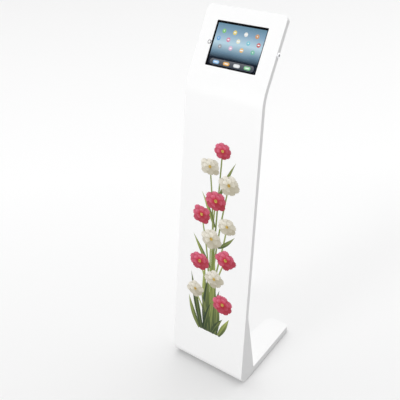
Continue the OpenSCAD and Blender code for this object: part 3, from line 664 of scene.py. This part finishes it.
def make_leaf_print(name, dark, mid, light):
    """A printed leaf or stem: one half in the light, the other in shade, with a pale rib."""
    f = Finish(name, Specular_IOR_Level=PRINT_GLOSS)
    veins = f.effect(vein_streaks, Vector=f.map, Across=9.0, Along=1.2)
    lit = f.ramp(veins["Along"], [(0.0, dark), (0.4, mid), (1.0, light)])
    streak = f.span(veins["Streak"], low=-0.45, high=0.45, from_low=0.3, from_high=0.7)
    level = f.span(f.plus(f.tint()["Fac"], streak), low=0.0, high=1.0, from_low=0.1, from_high=1.1)
    tone = f.blend(level, dark, f.blend(0.45, lit, light))
    fold = f.span(veins["Across"], low=0.0, high=0.7, from_low=0.44, from_high=0.60)
    folded = f.blend(fold, tone, f.blend(0.6, lit, dark))
    rib = f.span(veins["Side"], low=0.3, high=0.0, from_low=0.0, from_high=0.14)
    f.colour(f.blend(rib, folded, light))
    f.roughness(f.span(veins["Streak"], *PRINT_ROUGHNESS))
    return f.material


def make_seed_print():
    """The printed grains in the middle of a blossom."""
    f = Finish("print_seed_head", Specular_IOR_Level=PRINT_GLOSS)
    grains = f.effect(zinc_spangle, Vector=f.place, Scale=420.0)
    f.colour(f.blend(grains["Tone"], (0.30, 0.14, 0.02), (0.72, 0.52, 0.12)))
    f.roughness(f.span(grains["Tone"], low=0.38, high=0.5))
    return f.material


def print_blossom(bm, row, place, layer):
    """Two rings of petals, each petal as bright as it faces the light."""
    across, up, radius, dish, turn, _ = row
    for ring, (count, length_share, half_share) in enumerate(PETAL_RINGS):
        for k in range(count):
            lean = stray(amount=0.10, pace=5, k=k, start=place)
            angle = turn + RING_TURN*ring + 2*math.pi*k/count + lean
            length = length_share*radius*(1 + stray(amount=0.07, pace=3.1, k=k, start=2*place))
            facing = PRINT_LIGHT.dot(Vector((-math.sin(angle), math.cos(angle))))
            glint = stray(amount=0.1, pace=2.7, k=k, start=place)
            light = PETAL_LIGHT + PETAL_FALL*facing + glint + RING_LIGHT*ring
            lift = layer + FILM*(RING_LIFT*ring + OVERLAP_LIFT*(k % 2) + NEXT_LIFT*k)
            shape = petal((across, up), length, half_share*radius, dish, angle)
            add_print(bm, PETAL_GRID, shape, lift, light)


def stem_path(across, up, i):
    """A curve from the cut to a blossom, with a sway of its own."""
    foot = STEM_GATHER*across + stray(amount=6, pace=2.3, k=i)
    sway = STEM_SWAY*across + stray(amount=18, pace=1.7, k=i)
    rise = up - PRINT_CUT
    return [(foot, PRINT_CUT), (foot - STEM_BACK*sway, PRINT_CUT + LOWER_BEND*rise),
            (sway, PRINT_CUT + UPPER_BEND*rise), (across, up)]


def print_spray():
    """Blossoms, stems and leaves, each a film on the column's face, upper ones in higher layers."""
    stems, leaves, seeds = new_print(), new_print(), new_print()
    petals = {"rose": new_print(), "cream": new_print()}
    for i, row in enumerate(BLOSSOMS):
        across, up, radius, _, _, tint = row
        stem = ribbon(stem_path(across, up, i), stem_half)
        add_print(stems, STEM_GRID, stem, FILM*(STEM_LAYER + STEM_STEP*i),
                  STEM_LIGHT + STEM_LIGHT_STEP*i)
        layer = FILM*(BLOSSOM_LAYER + BLOSSOM_STEP*(len(BLOSSOMS) - i))
        print_blossom(petals[tint], row, i, layer)
        add_disc(seeds, across, up, SEED_SHARE*radius, layer + SEED_LIFT*FILM, SEED_SIDES)
    for i, (foot, bend, tip, half, light) in enumerate(LEAVES):
        add_print(leaves, LEAF_GRID, ribbon([foot, bend, tip], leaf_half(half)),
                  FILM*(LEAF_LAYER + LEAF_STEP*i), light)
    stem_green = make_leaf_print("print_stem_green", dark=(0.09, 0.13, 0.03),
                                 mid=(0.26, 0.33, 0.07), light=(0.58, 0.63, 0.24))
    leaf_green = make_leaf_print("print_leaf_green", dark=(0.035, 0.055, 0.03),
                                 mid=(0.12, 0.17, 0.045), light=(0.52, 0.58, 0.18))
    rose = make_petal_print("print_rose", root=(0.38, 0.014, 0.03), body=(0.64, 0.055, 0.10),
                            edge=(0.80, 0.22, 0.34), shadow=(0.31, 0.018, 0.03))
    cream = make_petal_print("print_cream", root=(0.48, 0.46, 0.25), body=(0.80, 0.75, 0.63),
                             edge=(0.95, 0.92, 0.84), shadow=(0.38, 0.34, 0.24))
    for name, bm, material in (("print_stems", stems, stem_green),
                               ("print_leaves", leaves, leaf_green),
                               ("print_rose_petals", petals["rose"], rose),
                               ("print_cream_petals", petals["cream"], cream),
                               ("print_seed_heads", seeds, make_seed_print())):
        finish_piece(name, bm, column_place, material, "stand")


# Picture on the display, in millimetres from the middle of the screen

# Thickness of the picture's film in the back of the glass
PICTURE = 0.06
# Black strips between the display's edges and its lit picture: left, right, below, above
DARK_STRIPS = (2.0, 1.6, 0.5, 2.4)
# How far the black border runs past the display, at its sides and at its ends
BORDER_SIDE, BORDER_END = 5.2, 9.0
BADGE_R = 7.6
BADGE_SIDES = 24
# Pill shapes: radius, and half of the length between their round ends
GLYPH_R, GLYPH_STRETCH = 0.26*BADGE_R, 0.3*BADGE_R
TRAY_BADGE_R, TRAY_BADGE_STRETCH = 0.8*BADGE_R, 0.9*BADGE_R
TRAY_GLYPH_R, TRAY_GLYPH_STRETCH = 0.25*BADGE_R, 0.7*BADGE_R
# Each row of badges: up, places across
BADGE_ROWS = [(46, (-66, -22, 22, 66)), (19, (-80, -40, 0, 40, 80)), (-8, (-66, -22, 22, 66))]
BADGE_TINTS = [(0.20, 0.55, 0.16), (0.80, 0.62, 0.12), (0.78, 0.78, 0.74), (0.62, 0.30, 0.12),
               (0.12, 0.36, 0.70), (0.70, 0.20, 0.34), (0.82, 0.80, 0.60), (0.20, 0.56, 0.66),
               (0.58, 0.10, 0.10), (0.30, 0.32, 0.36), (0.72, 0.44, 0.62), (0.86, 0.48, 0.14),
               (0.16, 0.50, 0.36)]
GLYPH_TINT = (0.92, 0.94, 0.95)
# Tray of badges along the lower edge: height of its middle, radius, room at its ends, step
TRAY_UP, TRAY_R, TRAY_ROOM, TRAY_STEP = 12, 11, 20, 42
TRAY_TINT = (0.045, 0.055, 0.075)
TRAY_TINTS = [(0.26, 0.50, 0.80), (0.80, 0.42, 0.10), (0.76, 0.78, 0.80), (0.24, 0.60, 0.30)]
# Shares of the film's thickness that lift one print over another
TRAY_LIFT, BADGE_LIFT, TRAY_BADGE_LIFT, GLYPH_LIFT, TRAY_GLYPH_LIFT = 1.4, 1.5, 1.7, 1.8, 1.9
# Colours of the wallpaper from its lower to its upper edge
WALLPAPER = [(0.0, (0.006, 0.008, 0.014)), (0.18, (0.012, 0.018, 0.030)), (0.33, (0.15, 0.25, 0.34)),
             (0.55, (0.50, 0.68, 0.78)), (0.80, (0.25, 0.39, 0.53)), (1.0, (0.14, 0.26, 0.35))]
# How far the wallpaper's bands drift up and down, as a share of its height, and in how many waves
BAND_DRIFT = 0.10
BAND_WAVES = (1.6, 2.4, 1)


def lit_print(name):
    """A material that only glows, as a display does."""
    f = Finish(name, Roughness=0.3, Specular_IOR_Level=0.0, Emission_Strength=1.0)
    f.colour((0, 0, 0, 1))
    return f


def make_screen_print():
    """Badges, paler towards their upper side."""
    f = lit_print("screen_badges")
    tint = f.tint()["Color"]
    up = f.add("ShaderNodeSeparateXYZ", {"Vector": f.map}).outputs["Y"]
    f.glow(f.blend(f.span(up, low=0.0, high=0.22), tint, f.blend(0.5, tint, grey(1))))
    return f.material


def make_wallpaper():
    """Soft bands of blue."""
    f = lit_print("screen_wallpaper")
    up = f.add("ShaderNodeSeparateXYZ", {"Vector": f.map}).outputs["Y"]
    clouds = f.noise(f.stretch(f.map, BAND_WAVES), scale=1.0, detail=2.0)
    drift = f.minus(f.times(clouds, BAND_DRIFT), BAND_DRIFT/2)
    f.glow(f.ramp(f.plus(up, drift), WALLPAPER))
    return f.material


def show_screen():
    """Wallpaper, badges and border, laid in the back of the glass."""
    half = (display_hi.x - display_lo.x)/2/MM
    tall = (reach("tablet_display", screen_up) - display_mid.dot(screen_up))/MM
    left, right, below, above = DARK_STRIPS

    def lit_field(side, along):
        return (side*half + (left if side < 0 else -right),
                (2*along - 1)*tall + (below if along < 0.5 else -above))

    wall = new_print()
    add_print(wall, (1, 1), lit_field, PICTURE)
    finish_piece("screen_wallpaper", wall, screen_place, make_wallpaper(), "stand")

    badges = new_print()

    def add_badge(across, up, radius, stretch, tint, lift):
        disc = add_disc(badges, across, up, radius, lift*PICTURE, BADGE_SIDES, stretch)
        tint_faces(badges, disc, tint)

    tray_up = -tall + TRAY_UP
    add_badge(0, tray_up, TRAY_R, half - TRAY_ROOM, TRAY_TINT, TRAY_LIFT)
    tints = iter(BADGE_TINTS)
    for up, places in BADGE_ROWS:
        for i, across in enumerate(places):
            add_badge(across, up, BADGE_R, 0, next(tints), BADGE_LIFT)
            add_badge(across, up, GLYPH_R, GLYPH_STRETCH*(i % 3), GLYPH_TINT, GLYPH_LIFT)
    for i, tint in enumerate(TRAY_TINTS):
        across = (i - (len(TRAY_TINTS) - 1)/2)*TRAY_STEP
        add_badge(across, tray_up, TRAY_BADGE_R, TRAY_BADGE_STRETCH, tint, TRAY_BADGE_LIFT)
        add_badge(across, tray_up, TRAY_GLYPH_R, TRAY_GLYPH_STRETCH, GLYPH_TINT, TRAY_GLYPH_LIFT)
    finish_piece("screen_badges", badges, screen_place, make_screen_print(), "stand")

    border = new_print()
    grid = bmesh.ops.create_grid(border, x_segments=3, y_segments=3, size=1, calc_uvs=True)["verts"]
    for v in grid:
        side_strip, end_strip = (left if v.co.x < 0 else right), (below if v.co.y < 0 else above)
        v.co = (math.copysign(half + (BORDER_SIDE if abs(v.co.x) > 0.5 else -side_strip), v.co.x)*MM,
                math.copysign(tall + (BORDER_END if abs(v.co.y) > 0.5 else -end_strip), v.co.y)*MM, 0)
    middle = min(border.faces, key=lambda face: face.calc_center_median().length)
    bmesh.ops.delete(border, geom=[middle], context="FACES_ONLY")
    raise_faces(border, border.faces[:], PICTURE*MM)
    finish_piece("screen_border", border, screen_place, finishes["screen_border_black"],
                 "stand")


# Foam pieces, in metres

# Frame between the skin and the tablet: corner, softened edge, width of the frame
FRAME_CORNER, FRAME_EDGE, FRAME_WALL = 0.011, 0.0003, 0.0035
# Pad on the door: corner, softened edge
PAD_CORNER, PAD_EDGE = 0.008, 0.0012
EDGE_STEPS = 4


def foam_slab(name, node, body, corner, edge, wall=None):
    """A cut foam sheet or frame with softened edges in the place of a CAD node."""
    lo, hi = local_box(node, screen_place)
    size = hi - lo
    bm = bmesh.new()
    bm.loops.layers.uv.new("UVMap")
    face = rounded_panel(bm, size.x, size.y, corner, ((lo.x + hi.x)/2, (lo.y + hi.y)/2, lo.z))
    if wall:
        bmesh.ops.inset_region(bm, faces=[face], thickness=wall, use_boundary=True,
                               use_even_offset=True)
        bmesh.ops.delete(bm, geom=[face], context="FACES")
    top = raise_faces(bm, bm.faces[:], size.z)
    rim = [e for e in each_once(e for f in top for e in f.edges)
           if sum(f in top for f in e.link_faces) == 1]
    bmesh.ops.bevel(bm, geom=rim, affect="EDGES", offset=edge, segments=EDGE_STEPS, profile=0.5,
                    material=-1)
    piece = finish_piece(name, bm, screen_place, finishes["black_foam"], body)
    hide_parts(node)


# Studio

def place_camera():
    """Camera of the photograph."""
    sin, cos = math.sin, math.cos
    back = Vector((sin(VIEW_AZIMUTH)*cos(VIEW_ELEVATION), -cos(VIEW_AZIMUTH)*cos(VIEW_ELEVATION),
                   sin(VIEW_ELEVATION)))
    right = Vector((cos(VIEW_AZIMUTH), sin(VIEW_AZIMUTH), 0))
    up = back.cross(right)
    rolled_right = cos(VIEW_ROLL)*right + sin(VIEW_ROLL)*up
    rolled_up = cos(VIEW_ROLL)*up - sin(VIEW_ROLL)*right
    data = bpy.data.cameras.new("view")
    data.sensor_fit = "HORIZONTAL"
    data.sensor_width = SENSOR_MM
    data.lens = SENSOR_MM*FOCAL_PX/IMAGE_PX
    camera = bpy.data.objects.new("view", data)
    turn = Matrix((rolled_right, rolled_up, back)).transposed().to_4x4()
    camera.matrix_world = Matrix.Translation(VIEW_PLACE) @ turn
    bpy.context.scene.collection.objects.link(camera)
    bpy.context.scene.camera = camera


def seen_ray(wiring):
    """1 for a ray that shows a surface to the camera, straight, mirrored or through glass."""
    path = wiring.add("ShaderNodeLightPath").outputs
    mirrored = wiring.calc("MAXIMUM", path["Is Glossy Ray"], path["Is Transmission Ray"])
    return wiring.calc("MAXIMUM", path["Is Camera Ray"], mirrored)


def light_studio():
    """White sky and soft lamps."""
    world = bpy.data.worlds.new("studio")
    world.use_nodes = True
    wiring = Wiring(world.node_tree)
    sky = world.node_tree.nodes["Background"]
    sky.inputs["Color"].default_value = (1, 1, 1, 1)
    wiring.feed(sky.inputs["Strength"], wiring.span(seen_ray(wiring), SKY_LIGHT, SKY_SEEN))
    bpy.context.scene.world = world
    for name, (strength, softness, bearing, height) in LAMPS.items():
        data = bpy.data.lights.new(name, "SUN")
        data.energy = strength
        data.angle = math.radians(softness)
        lamp = bpy.data.objects.new(name, data)
        turn = Euler((math.radians(90 - height), 0, math.radians(bearing)))
        lamp.matrix_world = turn.to_matrix().to_4x4()
        bpy.context.scene.collection.objects.link(lamp)


def lay_floor():
    """Pale floor, with painted light and shade in the grey that the camera sees: darker near and far, brighter
    between.
    """
    f = Finish("studio_floor", Roughness=1.0, Specular_IOR_Level=0.0)
    ahead = (-math.sin(VIEW_AZIMUTH), math.cos(VIEW_AZIMUTH), 0)
    start = f.add("ShaderNodeVectorMath", {0: f.place, 1: (VIEW_PLACE.x, VIEW_PLACE.y, 0)},
                  operation="SUBTRACT")
    along = f.add("ShaderNodeVectorMath", {0: start.outputs[0], 1: ahead}, operation="DOT_PRODUCT")
    share = f.span(along.outputs["Value"], 0.0, 1.0, from_low=FLOOR_NEAR, from_high=FLOOR_FAR)
    # Painted light and shade: the floor's seen grey changes with the distance from the camera
    tone = f.ramp(share, [(position, grey(level)) for position, level in FLOOR_PAINTED_LIGHT])
    f.colour(f.blend(seen_ray(f), grey(FLOOR_BOUNCE), tone))
    bm = bmesh.new()
    bmesh.ops.create_grid(bm, x_segments=1, y_segments=1, size=FLOOR_REACH)
    mesh = bpy.data.meshes.new("floor")
    bm.to_mesh(mesh)
    bm.free()
    mesh.materials.append(f.material)
    floor = bpy.data.objects.new("floor", mesh)
    bpy.context.scene.collection.objects.link(floor)


place_camera()
light_studio()
lay_floor()
print_spray()
show_screen()
foam_slab("foam_frame", "front_gasket", "stand", FRAME_CORNER, FRAME_EDGE, FRAME_WALL)
foam_slab("foam_pad", "door_foam_pad", "rear_door", PAD_CORNER, PAD_EDGE)

bpy.context.scene.view_settings.view_transform = "Standard"
